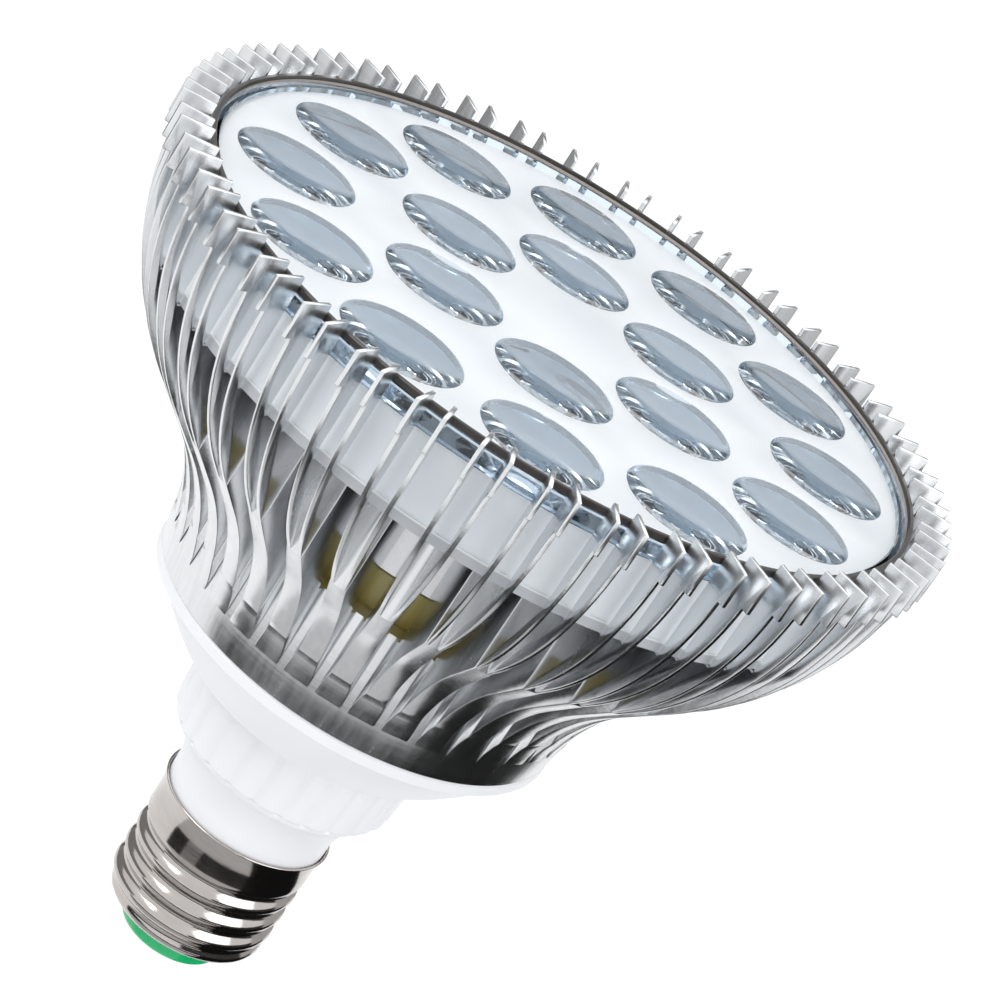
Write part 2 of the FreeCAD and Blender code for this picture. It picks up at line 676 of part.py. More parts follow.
# Wires: two up to the LED board, one up from the contact and one down to the screw shell
def make_leads():
    pair = new_body("led_leads")
    sketch = new_sketch(pair, "led_lead_section", "XY_Plane", shift_z="driver_top")
    for x, y in lead_spots():
        draw_circle(sketch, x, y, "lead_radius")
    extrude(pair, "led_lead_wires", sketch, "board_top + lead_end - driver_top")

    bend = "lead_bend * (1 - cos(45))"
    rise = "lead_bend * sin(45)"
    slant_top = f"(line_bend_height + {rise} + line_offset - 2 * {bend})"
    run_lead("line_lead", [("0", "solder_height"), ("0", "line_bend_height", "-lead_bend"),
                           (bend, f"line_bend_height + {rise}"),
                           (f"line_offset - {bend}", slant_top, "lead_bend"),
                           ("line_offset", f"{slant_top} + {rise}"), ("line_offset", "spigot_top")])
    touch = "(thread_crest_radius - shell_wall - neutral_gap)"
    run_lead("neutral_lead", [("-neutral_offset", "spigot_top"),
                              ("-neutral_offset", "neutral_height + neutral_bend", "-neutral_bend"),
                              ("-neutral_offset - neutral_bend", "neutral_height"), (f"-{touch}", "neutral_height")])


make_heat_sink()
make_light_engine()
make_lens_plate()
make_retaining_ring()
make_base_housing()
make_screw_shell()
make_contact_end()
make_driver_shelter()
make_transformer()
make_driver_parts()
make_leads()
doc.recompute()

faults = [item.Name for item in doc.Objects if {"Invalid", "Error"} & set(item.State)]
faults += [piece.Label for piece in pieces if piece.Shape.isNull() or not piece.Shape.isValid()]
if faults:
    raise RuntimeError("failed: " + ", ".join(faults))
os.makedirs("parts", exist_ok=True)
for piece in pieces:
    piece.Shape.exportStep(f"parts/{piece.Label}.step")
    print(piece.Label, len(piece.Shape.Solids), round(piece.Shape.Volume, 1))
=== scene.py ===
import math

import bmesh
import bpy
from mathutils import Matrix, Vector


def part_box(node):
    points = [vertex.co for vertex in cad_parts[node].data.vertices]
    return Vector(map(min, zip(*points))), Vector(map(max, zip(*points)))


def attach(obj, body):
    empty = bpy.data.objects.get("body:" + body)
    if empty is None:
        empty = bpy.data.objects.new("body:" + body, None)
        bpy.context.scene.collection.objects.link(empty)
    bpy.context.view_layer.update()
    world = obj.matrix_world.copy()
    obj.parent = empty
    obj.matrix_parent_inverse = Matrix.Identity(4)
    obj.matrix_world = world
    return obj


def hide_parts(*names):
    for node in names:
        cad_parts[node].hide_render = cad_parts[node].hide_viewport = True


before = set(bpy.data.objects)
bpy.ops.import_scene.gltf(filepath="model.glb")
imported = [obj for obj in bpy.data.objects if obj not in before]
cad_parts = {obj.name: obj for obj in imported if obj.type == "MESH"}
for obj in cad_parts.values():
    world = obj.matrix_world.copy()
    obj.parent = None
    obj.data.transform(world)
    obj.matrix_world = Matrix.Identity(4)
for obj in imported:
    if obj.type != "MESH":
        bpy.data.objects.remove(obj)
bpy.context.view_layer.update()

# Dresses a finned reflector bulb: metres, +Z from the centre contact to the light face.

MM = 0.001
UP = Vector((0, 0, 1))
ORIGIN = Vector((0, 0, 0))

# Corners of the boxes round the solids
sink_low, sink_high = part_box("heat_sink")
ring_low, ring_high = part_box("retaining_ring")
slug_low, slug_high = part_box("thermal_slug")
cup_low, cup_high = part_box("insulating_cup")
shell_low, shell_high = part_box("screw_shell")
housing_low, housing_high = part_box("base_housing")
lens_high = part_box("lens_plate")[1]
board_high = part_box("led_board")[1]
glass_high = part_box("shell_insulator")[1]

# Turned outline of the heat sink
RIM_RADIUS = 61.0 * MM
RIM_STEP = 1.3 * MM
BAND_FOOT = 114.0 * MM
CROWN_RADIUS = 40.05 * MM
CROWN_LEAN = math.radians(2.6)
SLOPE_ANGLE = math.radians(45)
SLOPE_RUN = 6.6 * MM
COVE_RADIUS = 30.7 * MM
COVE_LEAN = math.radians(13)
FOOT_RADIUS = 32.3 * MM

# Fins, and the hollows turned into them
TRUNKS = 40
TRUNK_PHASE = math.radians(5.6)
FORK_RADIUS = 46.5 * MM
VALLEY_FLOOR = 33.0 * MM
VALLEY_CORNER = 34.1 * MM
CHAMBER_RADIUS = 30.0 * MM
BORE_RADIUS = 34.2 * MM
BORE_FLOOR = 78.1 * MM
SEAT_RADIUS = 55.9 * MM
SEAT_LEVEL = 102.0 * MM

# Lens plate
PLATE_LEVEL = 116.05 * MM
PLATE_UNDER = 114.05 * MM
SKIRT_OUTSIDE = 54.9 * MM
SKIRT_INSIDE = 53.4 * MM
LENS_RADIUS = 9.1 * MM
LENS_CIRCLES = ((20.7 * MM, 6), (42.35 * MM, 12))

# Screw shell
CREST_RADIUS = 13.05 * MM
ROOT_RADIUS = 12.15 * MM
CREST_LEVEL = 17.38 * MM
THREAD_PITCH = 3.63 * MM

# Facets round the wide pieces, and how close points are before they count as one
RIM_STEPS = 240
SAME_POINT = 1e-6


# Shader expressions

class Signal:
    """A socket's value, so that sums of signals add their own Math nodes."""

    def __init__(self, finish, socket):
        self.finish = finish
        self.socket = socket

    def combine(self, operation, first, second):
        node = self.finish.node("ShaderNodeMath", {"operation": operation}, {0: first, 1: second})
        return Signal(self.finish, node.outputs[0])

    def __add__(self, other):
        return self.combine("ADD", self, other)

    def __radd__(self, other):
        return self.combine("ADD", other, self)

    def __mul__(self, other):
        return self.combine("MULTIPLY", self, other)

    def __rmul__(self, other):
        return self.combine("MULTIPLY", other, self)


# Places of the colour sockets on a Mix node
MIX_FACTOR = 0
MIX_FIRST = 6
MIX_SECOND = 7
MIXED_COLOUR = 2


class Finish:
    """A material whose nodes are added one call at a time."""

    def __init__(self, name, **fixed):
        self.material = bpy.data.materials.new(name)
        self.material.use_nodes = True
        self.tree = self.material.node_tree
        self.shader = self.tree.nodes["Principled BSDF"]
        for socket, value in fixed.items():
            self.shader.inputs[socket.replace("_", " ")].default_value = value

    def node(self, kind, settings=None, values=None):
        node = self.tree.nodes.new(kind)
        for name, value in (settings or {}).items():
            setattr(node, name, value)
        for key, value in (values or {}).items():
            if isinstance(value, Signal):
                self.tree.links.new(value.socket, node.inputs[key])
            else:
                node.inputs[key].default_value = value
        return node

    def signal(self, kind, output, settings=None, values=None):
        return Signal(self, self.node(kind, settings, values).outputs[output])

    def place(self, stretch=(1, 1, 1)):
        """Object coordinates, stretched so that a pattern runs long where the scale is small."""
        where = self.signal("ShaderNodeTexCoord", "Object")
        return self.signal("ShaderNodeMapping", "Vector", None, {"Vector": where, "Scale": stretch})

    def noise(self, scale, stretch=(1, 1, 1), detail=4.0):
        return self.signal("ShaderNodeTexNoise", "Fac", None,
                           {"Vector": self.place(stretch), "Scale": scale, "Detail": detail})

    def climb(self, low, high):
        """Share of the way up between two levels in metres, 0 below and 1 above."""
        where = self.signal("ShaderNodeTexCoord", "Object")
        level = self.signal("ShaderNodeSeparateXYZ", "Z", None, {"Vector": where})
        return self.signal("ShaderNodeMapRange", "Result", None,
                           {"Value": level, "From Min": low, "From Max": high})

    def tint(self, factor, dark, light):
        return self.signal("ShaderNodeMix", MIXED_COLOUR, {"data_type": "RGBA"},
                           {MIX_FACTOR: factor, MIX_FIRST: (*dark, 1), MIX_SECOND: (*light, 1)})

    def feed(self, **links):
        for socket, signal in links.items():
            self.tree.links.new(signal.socket, self.shader.inputs[socket.replace("_", " ")])

    def bump(self, height, strength, distance):
        relief = self.signal("ShaderNodeBump", "Normal", None,
                             {"Height": height, "Strength": strength, "Distance": distance})
        self.feed(Normal=relief)


def fin_aluminium():
    finish = Finish("bright_aluminium", Metallic=1.0)
    drawn = finish.noise(900, (1, 1, 0.02))
    turned = finish.noise(1500, (0.02, 0.02, 1))
    cloud = finish.noise(60)
    finish.feed(Base_Color=finish.tint(0.5 * cloud + 0.5 * drawn, (0.60, 0.62, 0.64), (0.93, 0.94, 0.95)),
                Roughness=0.14 + 0.14 * drawn + 0.06 * turned)
    finish.bump(drawn * 0.6 + turned * 0.4, 0.12, 0.0002)
    return finish.material


def nickel():
    finish = Finish("nickel_plate", Metallic=1.0)
    smear = finish.noise(120, (1, 1, 3))
    grain = finish.noise(2200, (0.3, 0.3, 1))
    finish.feed(Base_Color=finish.tint(smear, (0.42, 0.39, 0.37), (0.62, 0.59, 0.57)),
                Roughness=0.06 + 0.12 * smear)
    finish.bump(grain, 0.06, 0.0001)
    return finish.material


def white_plastic():
    finish = Finish("white_plastic", Coat_Weight=0.15, Coat_Roughness=0.25)
    mould = finish.noise(2600)
    cloud = finish.noise(50)
    finish.feed(Base_Color=finish.tint(cloud, (0.90, 0.90, 0.92), (0.94, 0.94, 0.95)),
                Roughness=0.38 + 0.1 * mould)
    finish.bump(mould, 0.05, 0.0001)
    return finish.material


def clear_moulding(name, clearness):
    finish = Finish(name, Transmission_Weight=clearness, IOR=1.49)
    ripple = finish.noise(260)
    finish.feed(Base_Color=finish.tint(ripple, (0.74, 0.87, 1.0), (0.86, 0.94, 1.0)),
                Roughness=0.015 + 0.02 * ripple)
    finish.bump(ripple, 0.04, 0.0003)
    return finish.material


def milky_moulding():
    finish = Finish("milky_lens_field", Transmission_Weight=0.1, IOR=1.49)
    cloud = finish.noise(90, (1, 1, 0.5), 1.0)
    finish.feed(Base_Color=finish.tint(cloud, (0.86, 0.91, 0.95), (0.96, 0.98, 0.99)),
                Roughness=0.30 + 0.1 * cloud)
    return finish.material


def board_lacquer():
    """White on the lacquered face, bare grey laminate down the edge."""
    finish = Finish("white_board", Coat_Weight=0.1)
    grain = finish.noise(500)
    face = finish.climb(board_high.z - 0.3 * MM, board_high.z - 0.05 * MM)
    finish.feed(Base_Color=finish.tint(face, (0.52, 0.54, 0.56), (0.90, 0.92, 0.94)),
                Roughness=0.3 + 0.1 * grain)
    return finish.material


def green_glass():
    finish = Finish("green_insulator", Coat_Weight=0.6, Coat_Roughness=0.05)
    swirl = finish.noise(300)
    finish.feed(Base_Color=finish.tint(swirl, (0.0, 0.42, 0.12), (0.02, 0.62, 0.22)),
                Roughness=0.12 + 0.1 * swirl)
    return finish.material


def amber_sheet():
    """Amber sheet, with painted light making it paler towards the top and painted shade making it darker
    towards the bottom.
    """
    finish = Finish("amber_sheet", Coat_Weight=0.4)
    streak = finish.noise(90, (1, 1, 0.3))
    # Painted light and shade: the colour runs from dark at 77 mm up to pale at 86 mm, as if lit from above
    # and shaded below
    climb = finish.climb(77 * MM, 86 * MM)
    finish.feed(Base_Color=finish.tint(0.75 * climb + 0.25 * streak, (0.74, 0.52, 0.06), (1.0, 0.94, 0.42)),
                Roughness=0.22 + 0.15 * streak)
    return finish.material


def speckled(name, dark, light, roughness=0.4, metallic=0.0, scale=700):
    """Plain finish with a fine grain, for the parts that sit inside."""
    finish = Finish(name, Metallic=metallic)
    grain = finish.noise(scale)
    finish.feed(Base_Color=finish.tint(grain, dark, light), Roughness=roughness + 0.12 * grain)
    finish.bump(grain, 0.08, 0.0001)
    return finish.material


# Mesh helpers

def between(start, end, share):
    """Value at a share of the way from start to end."""
    return start + (end - start) * share


def ramp(value, start, end):
    """Share of the way that a value has gone from start to end, held between 0 and 1."""
    return min(max((value - start) / (end - start), 0), 1)


def even_change(near, near_value, far, far_value):
    """Function of a radius that goes evenly from one value to another between two radii."""
    return lambda radius: between(near_value, far_value, (radius - near) / (far - near))


def distance_out(place):
    """Distance from the axis of the bulb."""
    return math.hypot(place.x, place.y)


def move_to_radius(point, radius):
    """Slide a vertex straight towards or away from the axis until it stands at that radius."""
    scale = radius / distance_out(point.co)
    point.co.x *= scale
    point.co.y *= scale


def vertices(geometry):
    return [item for item in geometry if isinstance(item, bmesh.types.BMVert)]


def everything(mesh):
    return mesh.verts[:] + mesh.edges[:] + mesh.faces[:]


def add_object(name, mesh):
    """Turn a bmesh into an object of the scene."""
    data = bpy.data.meshes.new(name)
    mesh.to_mesh(data)
    mesh.free()
    made = bpy.data.objects.new(name, data)
    bpy.context.scene.collection.objects.link(made)
    return made


def finish_piece(name, mesh, material, slot, *nodes):
    """Turn a bmesh into a piece that rides on the bulb and stands for the nodes named."""
    bmesh.ops.recalc_face_normals(mesh, faces=mesh.faces)
    piece = add_object(name, mesh)
    piece.data.materials.append(material)
    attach(piece, "root")
    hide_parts(*nodes)
    return piece


def smooth_by_angle(piece, degrees=35):
    piece.data.shade_smooth()
    piece.data.set_sharp_from_angle(angle=math.radians(degrees))


def outline_edges(mesh, corners, closed=True):
    """Edges through (radius, level) corners in the XZ plane."""
    points = [mesh.verts.new((radius, 0, level)) for radius, level in corners]
    runs = list(zip(points, points[1:]))
    if closed:
        runs.append((points[-1], points[0]))
    edges = [mesh.edges.new(run) for run in runs]
    return points + edges


def spin(mesh, geometry, steps, centre=ORIGIN, angle=math.tau, **options):
    bmesh.ops.spin(mesh, geom=geometry, cent=centre, axis=UP, angle=angle, steps=steps, **options)


def spin_full(mesh, geometry, steps):
    """One full turn about the axis of the bulb, closed on itself."""
    spin(mesh, geometry, steps, use_merge=True)
    bmesh.ops.remove_doubles(mesh, verts=mesh.verts, dist=SAME_POINT)


def arc_points(start, end, bulge, steps=8):
    """Points after start, up to end, of a curve that bulges to the right by a share of its chord."""
    run = Vector(end) - Vector(start)
    side = Vector((run.y, -run.x)) * bulge
    points = []
    for step in range(1, steps + 1):
        share = step / steps
        height = 4 * share * (1 - share)
        points.append(tuple(Vector(start) + run * share + side * height))
    return points


def turned_piece(name, corners, material, slot, steps, *nodes):
    mesh = bmesh.new()
    spin_full(mesh, outline_edges(mesh, corners), steps)
    piece = finish_piece(name, mesh, material, slot, *nodes)
    smooth_by_angle(piece)
    return piece


# Heat sink: forked fins, each cut to the bell's outline and softened along its edges

def bell_outline(from_radius):
    """(radius, level) of the turned outline, from the foot up to the rim, outside the radius given."""
    cove_steps = 8
    crown_steps = 14
    axis_radius = RIM_RADIUS - RIM_STEP - CROWN_RADIUS * math.cos(CROWN_LEAN)
    axis_level = BAND_FOOT + CROWN_RADIUS * math.sin(CROWN_LEAN)
    slope_sine = math.sin(SLOPE_ANGLE)
    slope_cosine = math.cos(SLOPE_ANGLE)
    cove_end_radius = axis_radius + CROWN_RADIUS * slope_cosine - SLOPE_RUN
    cove_end_level = axis_level - CROWN_RADIUS * slope_sine - SLOPE_RUN
    points = [(FOOT_RADIUS, sink_low.z)]
    for step in range(cove_steps + 1):
        angle = between(COVE_LEAN, SLOPE_ANGLE, step / cove_steps)
        points.append((cove_end_radius - COVE_RADIUS * (math.cos(angle) - slope_cosine),
                       cove_end_level - COVE_RADIUS * (slope_sine - math.sin(angle))))
    for step in range(crown_steps + 1):
        angle = between(SLOPE_ANGLE, CROWN_LEAN, step / crown_steps)
        points.append((axis_radius + CROWN_RADIUS * math.cos(angle),
                       axis_level - CROWN_RADIUS * math.sin(angle)))
    inside = [point for point in points if point[0] <= from_radius]
    outside = [point for point in points if point[0] > from_radius]
    if inside:
        low = inside[-1]
        high = outside[0]
        share = (from_radius - low[0]) / (high[0] - low[0])
        outside.insert(0, (from_radius, between(low[1], high[1], share)))
    return outside


def plate_from_outline(mesh, corners, half_width):
    """Closed plate with that outline in the XZ plane. At each radius half_width gives half its thickness."""
    points = [mesh.verts.new((radius, 0, level)) for radius, level in corners]
    face = mesh.faces.new(points)
    grown = bmesh.ops.extrude_face_region(mesh, geom=[face])["geom"]
    back = vertices(grown)
    for point in points:
        point.co.y = -half_width(point.co.x)
    for point in back:
        point.co.y = half_width(point.co.x)
    return points + back


def make_heat_sink(material):
    root_half = 2.09 * MM
    corner_half = 1.575 * MM
    fork_half = 1.3 * MM
    arm_half = 0.32 * MM
    arm_spacing = 0.78 * MM
    crotch_half = 0.5 * MM
    fork_overlap = 0.6 * MM
    trunk_reach = FORK_RADIUS + 0.02 * MM
    edge_round = 0.13 * MM
    foot_chamfer = 0.2 * MM
    core_shoulder = sink_low.z + 4.7 * MM
    pitch = math.tau / TRUNKS
    valley = pitch * FORK_RADIUS - 2 * fork_half
    rim_crotch = pitch * RIM_RADIUS - valley - 2 * arm_spacing
    corner_level = bell_outline(VALLEY_CORNER)[0][1]
    fork_level = bell_outline(FORK_RADIUS)[0][1]
    sector = bmesh.new()

    # Root of one trunk, below the bore, and the trunk from there out to the fork
    root = [point for point in bell_outline(VALLEY_FLOOR) if point[0] < VALLEY_CORNER]
    root += [(VALLEY_CORNER, corner_level), (VALLEY_CORNER, BORE_FLOOR), (VALLEY_FLOOR, BORE_FLOOR)]
    plate_from_outline(sector, root, even_change(VALLEY_FLOOR, root_half, VALLEY_CORNER, corner_half))
    trunk = [(VALLEY_CORNER, SEAT_LEVEL), (VALLEY_CORNER, corner_level)]
    trunk += [point for point in bell_outline(VALLEY_CORNER)[1:] if point[0] < FORK_RADIUS]
    trunk += [(trunk_reach, fork_level), (trunk_reach, SEAT_LEVEL)]
    plate_from_outline(sector, trunk, even_change(VALLEY_CORNER, corner_half, FORK_RADIUS, fork_half))

    # One arm, leaning off the trunk, and its mirror image
    arm = [(FORK_RADIUS - fork_overlap, SEAT_LEVEL), (FORK_RADIUS - fork_overlap, fork_level)]
    arm += bell_outline(FORK_RADIUS)
    arm += [(RIM_RADIUS, BAND_FOOT), (RIM_RADIUS, sink_high.z), (SEAT_RADIUS, sink_high.z),
            (SEAT_RADIUS, SEAT_LEVEL)]
    arm_points = plate_from_outline(sector, arm, lambda radius: arm_half)
    arm_offset = even_change(FORK_RADIUS, crotch_half + arm_spacing / 2,
                             RIM_RADIUS, rim_crotch / 2 + arm_spacing / 2)
    for point in arm_points:
        point.co.y += arm_offset(point.co.x)
    arm_faces = list({face for point in arm_points for face in point.link_faces})
    other = bmesh.ops.duplicate(sector, geom=arm_faces)["geom"]
    bmesh.ops.scale(sector, vec=(1, -1, 1), verts=vertices(other))

    # Softened edges, then all the fins round the solid core
    bmesh.ops.recalc_face_normals(sector, faces=sector.faces)
    sharp = [edge for edge in sector.edges if edge.calc_face_angle(0) > math.radians(50)]
    bmesh.ops.bevel(sector, geom=sharp, offset=edge_round, segments=2, profile=0.5, affect="EDGES",
                    clamp_overlap=True, material=-1)
    bmesh.ops.rotate(sector, verts=sector.verts, cent=ORIGIN, matrix=Matrix.Rotation(TRUNK_PHASE, 3, "Z"))
    spin(sector, everything(sector), TRUNKS - 1, angle=math.tau * (TRUNKS - 1) / TRUNKS, use_duplicate=True)
    core = [(CHAMBER_RADIUS, sink_low.z), (FOOT_RADIUS - foot_chamfer, sink_low.z),
            (FOOT_RADIUS, sink_low.z + foot_chamfer), (VALLEY_FLOOR, core_shoulder),
            (VALLEY_FLOOR, BORE_FLOOR), (CHAMBER_RADIUS, BORE_FLOOR)]
    spin_full(sector, outline_edges(sector, core), RIM_STEPS)
    piece = finish_piece("forked_heat_sink", sector, material, "heat_sink", "heat_sink")
    smooth_by_angle(piece, 30)


# Lens plate: flat field with a dished lens over each diode and a deep collimating cup below it

def lens_centres():
    for radius, count in LENS_CIRCLES:
        for index in range(count):
            angle = math.tau * index / count
            yield Vector((radius * math.cos(angle), radius * math.sin(angle), 0))


def perforated_disc(mesh, radius, level, rim_steps, hole_steps):
    """Flat sheet with a round gap for every lens."""
    loops = []
    circles = [(ORIGIN, radius, rim_steps)]
    circles += [(centre, LENS_RADIUS, hole_steps) for centre in lens_centres()]
    for centre, size, steps in circles:
        place = Matrix.Translation(centre + UP * level)
        made = bmesh.ops.create_circle(mesh, cap_ends=False, segments=steps, radius=size, matrix=place)
        loops += list({edge for point in made["verts"] for edge in point.link_edges})
    bmesh.ops.triangle_fill(mesh, use_beauty=True, use_dissolve=False, edges=loops, normal=UP)


def make_lens_plate(body, face_finish, field):
    """Clear body, with finishes of their own on the dishes and on the flat field and outer skirt."""
    hole_steps = 48
    flange_in = 53.9 * MM
    soft = 0.25 * MM
    dish_depth = 0.9 * MM
    below_dish = PLATE_LEVEL - 1.2 * MM
    outer_skirt = SKIRT_OUTSIDE - 0.3 * MM
    weld = 2 * SAME_POINT
    mesh = bmesh.new()
    perforated_disc(mesh, flange_in, PLATE_LEVEL, RIM_STEPS, hole_steps)
    perforated_disc(mesh, SKIRT_INSIDE, PLATE_UNDER, RIM_STEPS, hole_steps)
    side = [(flange_in, PLATE_LEVEL), (flange_in, lens_high.z - soft), (flange_in + soft, lens_high.z),
            (lens_high.x - soft, lens_high.z), (lens_high.x, lens_high.z - soft),
            (lens_high.x, PLATE_UNDER), (SKIRT_OUTSIDE, PLATE_UNDER), (SKIRT_OUTSIDE, board_high.z),
            (SKIRT_INSIDE, board_high.z), (SKIRT_INSIDE, PLATE_UNDER)]
    spin(mesh, outline_edges(mesh, side, closed=False), RIM_STEPS, use_merge=True)

    # Collimating cup, narrowing to a pocket over the diode with a domed roof, and the dish above
    mouth = (LENS_RADIUS, PLATE_UNDER)
    foot = board_high.z + 1.0 * MM
    cup_foot = (3.6 * MM, foot)
    pocket_foot = (2.7 * MM, foot)
    pocket_top = (2.6 * MM, foot + 3.4 * MM)
    roof_middle = (0, foot + 2.7 * MM)
    cup = [mouth] + arc_points(mouth, cup_foot, 0.10)
    cup += [pocket_foot, pocket_top]
    cup += arc_points(pocket_top, roof_middle, 0.08, 4)
    dish = [(LENS_RADIUS * share, PLATE_LEVEL - dish_depth * (1 - share ** 2))
            for share in (1.0, 0.95, 0.85, 0.7, 0.55, 0.4, 0.25, 0.1, 0.0)]
    for centre in lens_centres():
        for profile in (cup, dish):
            geometry = outline_edges(mesh, profile, closed=False)
            bmesh.ops.translate(mesh, verts=vertices(geometry), vec=centre)
            spin(mesh, geometry, hole_steps, centre, use_merge=True)
    bmesh.ops.remove_doubles(mesh, verts=mesh.verts, dist=weld)
    piece = finish_piece("clear_lens_plate", mesh, body, "lens_plate", "lens_plate")
    piece.data.materials.append(face_finish)
    piece.data.materials.append(field)
    for face in piece.data.polygons:
        level = face.center.z
        spread = distance_out(face.center)
        on_field = abs(level - PLATE_LEVEL) < SAME_POINT
        if on_field or (spread > outer_skirt and level < PLATE_UNDER):
            face.material_index = 2
        elif below_dish < level < PLATE_LEVEL and spread < SKIRT_INSIDE:
            face.material_index = 1
    smooth_by_angle(piece, 30)


# Screw shell: one thread wave swept up a helix, faded into the plain band and the foot

def crest_radius(level):
    """Radius of the thread's crests, which narrow towards the insulator."""
    taper = [(3.7 * MM, 8.4 * MM), (4.4 * MM, 10.0 * MM), (5.1 * MM, 11.2 * MM), (5.9 * MM, 12.1 * MM),
             (6.7 * MM, 12.6 * MM), (7.55 * MM, CREST_RADIUS)]
    for (low, near), (high, far) in zip(taper, taper[1:]):
        if level < high:
            return between(near, far, max(level - low, 0) / (high - low))
    return CREST_RADIUS


def make_screw_shell(material):
    turns = 8
    steps = 64
    wave_points = 10
    sharpness = 1.15
    flare_foot = 22.6 * MM
    flare_width = 0.55 * MM
    start = CREST_LEVEL - 4 * THREAD_PITCH
    mesh = bmesh.new()
    line = [(CREST_RADIUS, start + THREAD_PITCH * index / wave_points) for index in range(wave_points + 1)]
    spin(mesh, outline_edges(mesh, line, closed=False), steps * turns, angle=math.tau * turns,
         dvec=(0, 0, THREAD_PITCH / steps))
    bmesh.ops.remove_doubles(mesh, verts=mesh.verts, dist=SAME_POINT)
    for level, normal in ((shell_low.z, -UP), (shell_high.z, UP)):
        bmesh.ops.bisect_plane(mesh, geom=everything(mesh), plane_co=(0, 0, level), plane_no=normal,
                               clear_outer=True)
    for point in mesh.verts:
        level = point.co.z
        turn = math.atan2(point.co.y, point.co.x) / math.tau
        phase = (level - CREST_LEVEL) / THREAD_PITCH - turn
        wave = (0.5 - 0.5 * math.cos(math.tau * phase)) ** sharpness
        wave *= ramp(level, 20.6 * MM, 19.0 * MM) * ramp(level, 5.6 * MM, 7.6 * MM)
        flare = flare_width * ramp(level, flare_foot, shell_high.z) ** 2
        move_to_radius(point, crest_radius(level) - (CREST_RADIUS - ROOT_RADIUS) * wave + flare)
    piece = finish_piece("threaded_shell", mesh, material, "screw_shell", "screw_shell")
    wall = piece.modifiers.new("wall", "SOLIDIFY")
    wall.thickness = 0.35 * MM
    wall.offset = -1
    smooth_by_angle(piece, 60)


# Base housing: flange and funnel, grooved neck and rounded nose, turned in fine steps

def make_base_housing(material):
    ribs = 26
    per_rib = 8
    soft = 0.3 * MM
    spigot_radius = 29.8 * MM
    flange_top = 60.0 * MM
    flange_foot = (FOOT_RADIUS, 58.3 * MM)
    shoulder = (30.3 * MM, 56.9 * MM)
    funnel_foot = (22.3 * MM, 48.3 * MM)
    funnel_lip = (21.7 * MM, 48.0 * MM)
    neck_top = 48.4 * MM
    neck_foot = 36.9 * MM
    neck_levels = 8
    nose_top = (16.75 * MM, 35.9 * MM)
    nose_foot = (13.0 * MM, 28.6 * MM)
    collar_foot = 25.0 * MM
    boss_radius = 11.5 * MM
    boss_bore = 10.1 * MM
    neck_bore = 15.5 * MM
    spigot_bore = 28.2 * MM
    corners = [(spigot_radius, housing_high.z), (spigot_radius, flange_top),
               (FOOT_RADIUS - soft, flange_top), (FOOT_RADIUS, flange_top - soft), flange_foot]
    corners += arc_points(flange_foot, shoulder, 0.12, 4)
    corners += arc_points(shoulder, funnel_foot, -0.03, 6)
    corners += arc_points(funnel_foot, funnel_lip, 0.2, 3)
    corners += [(19.4 * MM, neck_top), (18.72 * MM, neck_top)]
    for index in range(1, neck_levels + 1):
        share = index / neck_levels
        corners.append((between(18.7 * MM, 17.9 * MM, share), between(neck_top, neck_foot + 0.5 * MM, share)))
    corners += arc_points(corners[-1], (17.4 * MM, neck_foot - 0.3 * MM), 0.2, 3)
    corners += [(16.9 * MM, 36.5 * MM), (nose_top[0], 36.3 * MM), nose_top]
    corners += arc_points(nose_top, nose_foot, 0.10, 10)
    corners += [(nose_foot[0], collar_foot), (boss_radius, collar_foot), (boss_radius, housing_low.z),
                (boss_bore, housing_low.z), (boss_bore, nose_foot[1]), (neck_bore, 37.2 * MM),
                (neck_bore, funnel_lip[1]), (spigot_bore, 57.0 * MM), (spigot_bore, housing_high.z)]
    mesh = bmesh.new()
    spin_full(mesh, outline_edges(mesh, corners), ribs * per_rib)

    # Grooves and crowned ribs round the neck
    groove_depth = 0.32 * MM
    rib_crown = 0.12 * MM
    groove_columns = (0, 1)
    rib_middle = 4.5
    rib_reach = 2.5
    neck_skin = 17.0 * MM
    step = math.tau / (ribs * per_rib)
    for point in mesh.verts:
        radius = distance_out(point.co)
        if neck_foot - 0.1 * MM < point.co.z < neck_top - 0.6 * MM and radius > neck_skin:
            column = round(math.atan2(point.co.y, point.co.x) / step) % per_rib
            if column in groove_columns:
                change = -groove_depth
            else:
                change = rib_crown * (1 - ((column - rib_middle) / rib_reach) ** 2)
            move_to_radius(point, radius + change)
    piece = finish_piece("ribbed_base_housing", mesh, material, "base_housing", "base_housing")
    smooth_by_angle(piece, 40)


